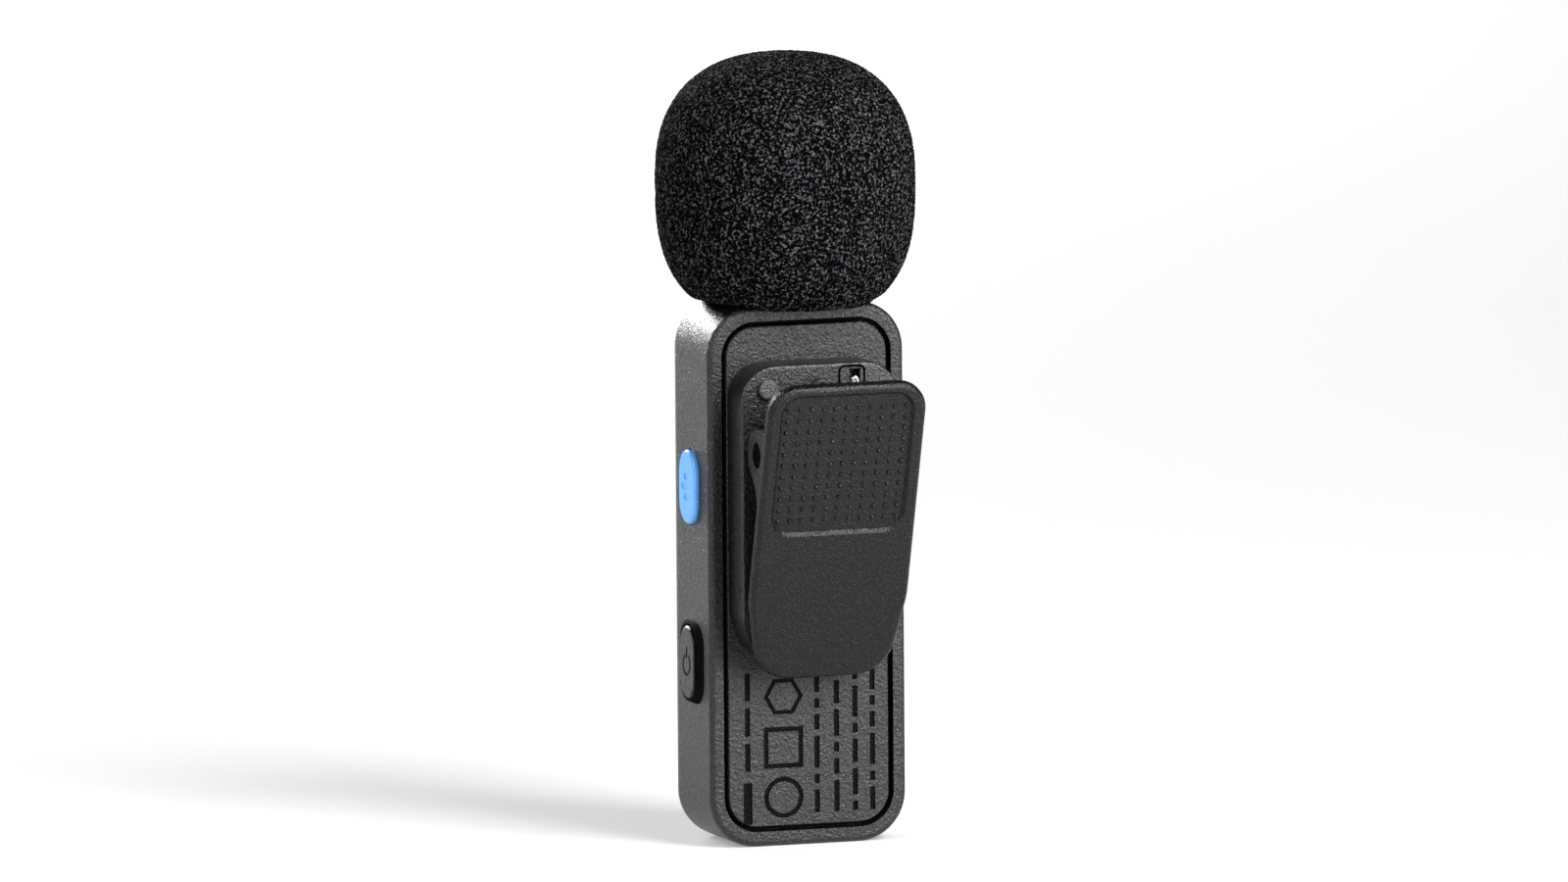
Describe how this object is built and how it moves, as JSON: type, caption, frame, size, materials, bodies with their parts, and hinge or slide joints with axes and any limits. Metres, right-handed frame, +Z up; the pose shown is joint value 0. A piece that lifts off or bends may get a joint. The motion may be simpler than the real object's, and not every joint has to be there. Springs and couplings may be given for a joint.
{
  "type": "lavalier microphone",
  "caption": "Clip-on wireless lavalier microphone: slim case with a round foam windscreen, a sprung clip on the back and two keys on the side.",
  "frame": {"origin": "centre of the case's bottom face", "axes": "+Z up along the case to the windscreen, -Y out of the back cover towards the clip, -X out of the side with the two keys"},
  "size_m": [0.0212, 0.0264, 0.0645],
  "materials": {
    "case_plastic": "fine-grained moulded, matte black",
    "cover_plastic": "fine-grained moulded, matte black",
    "tape_foam": "matte foam tape",
    "clip_plastic": "fine-grained moulded, matte black",
    "lever_plastic": "fine-grained moulded, matte black",
    "bumper_plastic": "smooth moulded, dark grey",
    "black_steel": "black oxide",
    "anchor_plastic": "smooth moulded, dark grey",
    "pin_steel": "dark ground steel",
    "spring_steel": "bright drawn wire",
    "blue_plastic": "satin moulded, blue",
    "key_plastic": "satin moulded, black",
    "bezel_rubber": "matte black rubber",
    "switch_plastic": "moulded, dark grey",
    "plunger_plastic": "moulded, off white",
    "board_laminate": "green solder mask",
    "chip_epoxy": "moulded epoxy, black",
    "shield_steel": "tinned sheet",
    "antenna_ceramic": "white ceramic",
    "led_body": "clear epoxy over white",
    "clear_plastic": "clear moulded",
    "zinc_steel": "zinc plated",
    "port_steel": "nickel plated",
    "tongue_plastic": "moulded, black, with gold contacts",
    "battery_pouch": "foil pouch",
    "lead_insulation": "smooth insulation",
    "neck_plastic": "moulded, black",
    "boot_rubber": "soft matte rubber",
    "capsule_aluminium": "drawn can",
    "grille_metal": "black coated sheet",
    "mesh_cloth": "fine woven mesh",
    "foam": "open-cell foam, black"
  },
  "bodies": {
    "housing": {"housing_shell": "case_plastic", "back_cover": "cover_plastic", "cover_gasket": "tape_foam", "clip_base": "clip_plastic", "lever_bumper": "bumper_plastic", "clip_screws": "black_steel", "spring_anchor": "anchor_plastic", "hinge_pin": "pin_steel", "torsion_spring": "spring_steel", "power_button_bezel": "bezel_rubber", "noise_switch": "switch_plastic", "power_switch": "switch_plastic", "circuit_board": "board_laminate", "board_chips": "chip_epoxy", "rf_shield": "shield_steel", "chip_antenna": "antenna_ceramic", "status_led": "led_body", "light_pipe": "clear_plastic", "board_screws": "zinc_steel", "usb_shell": "port_steel", "usb_tongue": "tongue_plastic", "battery": "battery_pouch", "battery_pad": "tape_foam", "battery_leads": "lead_insulation", "mic_neck": "neck_plastic", "capsule_boot": "boot_rubber", "mic_capsule": "capsule_aluminium", "mic_leads": "lead_insulation", "mic_grille": "grille_metal", "acoustic_mesh": "mesh_cloth"},
    "clip_lever": {"clip_lever": "lever_plastic"},
    "noise_key": {"noise_button": "blue_plastic", "noise_switch_plunger": "plunger_plastic"},
    "power_key": {"power_button": "key_plastic", "power_switch_plunger": "plunger_plastic"},
    "windscreen": {"foam_windscreen": "foam"}
  },
  "joints": [
    {"name": "lever_hinge", "type": "hinge", "parent": "housing", "child": "clip_lever", "pos_m": [0, -0.01116, 0.033], "axis": [-1, 0, 0], "range_deg": [0, 30], "stiffness_Nm_per_rad": 0.02, "springref_deg": -28.65, "deforming": ["torsion_spring"]},
    {"name": "noise_press", "type": "slide", "parent": "housing", "child": "noise_key", "axis": [1, 0, 0], "range_m": [0, 0.00025], "stiffness_N_per_m": 400, "springref_m": -0.002},
    {"name": "power_press", "type": "slide", "parent": "housing", "child": "power_key", "axis": [1, 0, 0], "range_m": [0, 0.00025], "stiffness_N_per_m": 400, "springref_m": -0.002},
    {"name": "windscreen_pull", "type": "slide", "parent": "housing", "child": "windscreen", "axis": [0, 0, 1], "range_m": [0, 0.012]}
  ]
}
